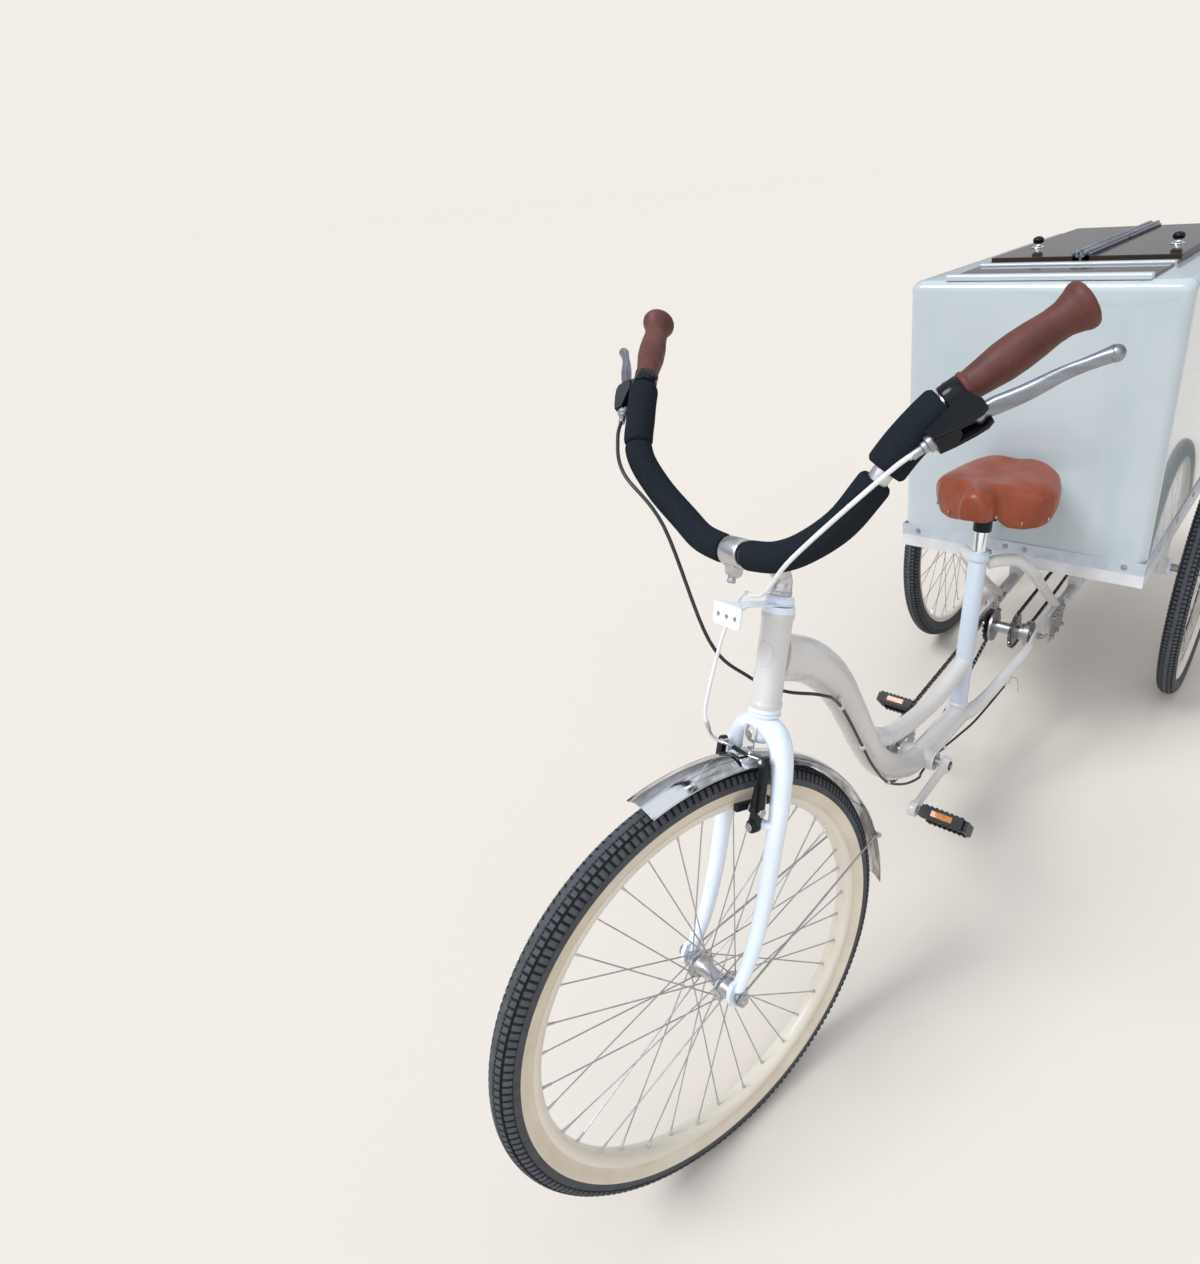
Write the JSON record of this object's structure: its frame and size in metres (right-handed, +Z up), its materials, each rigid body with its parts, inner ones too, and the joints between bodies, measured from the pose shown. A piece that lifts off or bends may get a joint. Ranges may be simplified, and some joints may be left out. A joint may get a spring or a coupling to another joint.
{
  "type": "ice cream tricycle",
  "caption": "Ice cream tricycle: a step-through cruiser with a two-wheel rear axle that carries an insulated box with two lids.",
  "frame": {"origin": "on the floor below the middle of the whole tricycle, in its middle plane", "axes": "+X to the rider's left, +Y towards the box, +Z up"},
  "size_m": [0.798, 2.4407, 1.2078],
  "materials": {
    "white_paint": "gloss",
    "cream_paint": "satin",
    "alloy": "satin",
    "steel": "satin",
    "dark_steel": "satin",
    "chrome": "polished",
    "tyre_rubber": "matte",
    "black_plastic": "matte",
    "cable_black": "satin",
    "cable_white": "satin",
    "foam": "matte",
    "grip_rubber": "matte",
    "tan_leather": "satin",
    "fibreglass": "gloss",
    "liner": "satin",
    "lid_dark": "gloss"
  },
  "bodies": {
    "frame": {"head_tube": "white_paint", "main_tube": "white_paint", "seat_tube": "white_paint", "bottom_bracket": "white_paint", "chain_stays": "white_paint", "seat_stays": "white_paint", "seat_clamp": "alloy", "axle_adaptors": "steel", "rear_subframe": "white_paint", "jackshaft_axle": "steel", "bearing_cups": "steel", "box_frame": "white_paint", "box_trim": "alloy", "box_shell": "fibreglass", "box_liner": "liner", "box_top": "fibreglass", "crank_chain": "dark_steel", "rear_chain": "dark_steel", "rear_brake_cable": "cable_black", "cable_clips": "white_paint", "cable_inner_wire": "steel"},
    "steering": {"fork": "white_paint", "stem": "alloy", "handlebar": "alloy", "grips": "grip_rubber", "foam_sleeves": "foam", "lever_clamps": "black_plastic", "lamp_bracket": "white_paint", "front_mudguard": "chrome", "front_brake_cable": "cable_white", "front_axle": "steel"},
    "front_wheel": {"front_tyre": "tyre_rubber", "front_rim": "cream_paint", "front_spokes": "steel", "front_hub": "alloy"},
    "left_lever": {"left_brake_lever": "alloy"},
    "right_lever": {"right_brake_lever": "alloy"},
    "left_arm": {"left_brake_arm": "black_plastic"},
    "right_arm": {"right_brake_arm": "black_plastic"},
    "crankset": {"crank_spindle": "steel", "crank_arms": "white_paint", "chainring": "steel"},
    "left_pedal_body": {"left_pedal": "black_plastic"},
    "right_pedal_body": {"right_pedal": "black_plastic"},
    "freewheel": {"freewheel_cog": "dark_steel"},
    "jackshaft": {"jackshaft_hub": "alloy"},
    "rear_wheel_set": {"rear_axle": "steel", "left_rear_tyre": "tyre_rubber", "left_rear_rim": "cream_paint", "left_rear_spokes": "steel", "left_rear_hub": "alloy"},
    "right_rear_wheel": {"right_rear_tyre": "tyre_rubber", "right_rear_rim": "cream_paint", "right_rear_spokes": "steel", "right_rear_hub": "alloy"},
    "left_lid_body": {"left_lid": "lid_dark"},
    "right_lid_body": {"right_lid": "lid_dark"},
    "seat": {"seatpost": "chrome", "saddle": "tan_leather", "saddle_rails": "steel"}
  },
  "joints": [
    {"name": "steering_turn", "type": "hinge", "parent": "frame", "child": "steering", "pos_m": [0, -0.8641, 0.32084], "axis": [0, 0.3633, 0.9317], "range_deg": [-47.2, 72.8], "deforming": ["rear_brake_cable"]},
    {"name": "front_wheel_spin", "type": "hinge", "parent": "steering", "child": "front_wheel", "pos_m": [-0.00698, -0.89272, 0.332], "axis": [0.9751, -0.2064, 0.0805], "continuous": true},
    {"name": "left_lever_squeeze", "type": "hinge", "parent": "steering", "child": "left_lever", "pos_m": [0.26915, -0.70024, 1.11171], "axis": [-0.1139, -0.5882, 0.8007], "range_deg": [0, 18], "stiffness_Nm_per_rad": 1.5, "springref_deg": -8.59},
    {"name": "right_lever_squeeze", "type": "hinge", "parent": "steering", "child": "right_lever", "pos_m": [-0.3009, -0.57957, 1.06467], "axis": [0.2597, 0.5573, -0.7886], "range_deg": [0, 18], "stiffness_Nm_per_rad": 1.5, "springref_deg": -8.59},
    {"name": "left_arm_swing", "type": "hinge", "parent": "steering", "child": "left_arm", "pos_m": [0.03236, -0.80589, 0.57506], "axis": [-0.2215, -0.9085, 0.3542], "range_deg": [0, 5.4]},
    {"name": "right_arm_swing", "type": "hinge", "parent": "steering", "child": "right_arm", "pos_m": [-0.04565, -0.78938, 0.56862], "axis": [0.2215, 0.9085, -0.3542], "range_deg": [0, 5.4]},
    {"name": "crank_turn", "type": "hinge", "parent": "frame", "child": "crankset", "pos_m": [0, -0.22645, 0.266], "axis": [1, 0, 0], "continuous": true},
    {"name": "left_pedal_spin", "type": "hinge", "parent": "crankset", "child": "left_pedal_body", "pos_m": [0.121, -0.39677, 0.28994], "axis": [1, 0, 0], "continuous": true},
    {"name": "right_pedal_spin", "type": "hinge", "parent": "crankset", "child": "right_pedal_body", "pos_m": [-0.121, -0.05612, 0.24206], "axis": [1, 0, 0], "continuous": true},
    {"name": "freewheel_turn", "type": "hinge", "parent": "frame", "child": "freewheel", "pos_m": [0, 0.25155, 0.322], "axis": [1, 0, 0], "continuous": true},
    {"name": "jackshaft_turn", "type": "hinge", "parent": "frame", "child": "jackshaft", "pos_m": [0, 0.25155, 0.322], "axis": [1, 0, 0], "continuous": true},
    {"name": "rear_axle_turn", "type": "hinge", "parent": "frame", "child": "rear_wheel_set", "pos_m": [0, 0.73555, 0.3305], "axis": [1, 0, 0], "continuous": true},
    {"name": "right_wheel_spin", "type": "hinge", "parent": "rear_wheel_set", "child": "right_rear_wheel", "pos_m": [-0.341, 0.73555, 0.3305], "axis": [1, 0, 0], "continuous": true},
    {"name": "left_lid_open", "type": "hinge", "parent": "frame", "child": "left_lid_body", "pos_m": [0.009, 0.83155, 1.112], "axis": [0, -1, 0], "range_deg": [0, 70]},
    {"name": "right_lid_open", "type": "hinge", "parent": "frame", "child": "right_lid_body", "pos_m": [-0.009, 0.83155, 1.112], "axis": [0, 1, 0], "range_deg": [0, 70]},
    {"name": "seat_height", "type": "slide", "parent": "frame", "child": "seat", "axis": [0, 0.1877, 0.9822], "range_m": [-0.035, 0.05]}
  ],
  "couplings": [
    {"joint": "freewheel_turn", "follows": "crank_turn", "ratio": 2},
    {"joint": "jackshaft_turn", "follows": "rear_axle_turn", "ratio": 1},
    {"joint": "left_arm_swing", "follows": "left_lever_squeeze", "ratio": 0.3},
    {"joint": "right_arm_swing", "follows": "left_lever_squeeze", "ratio": 0.3}
  ]
}
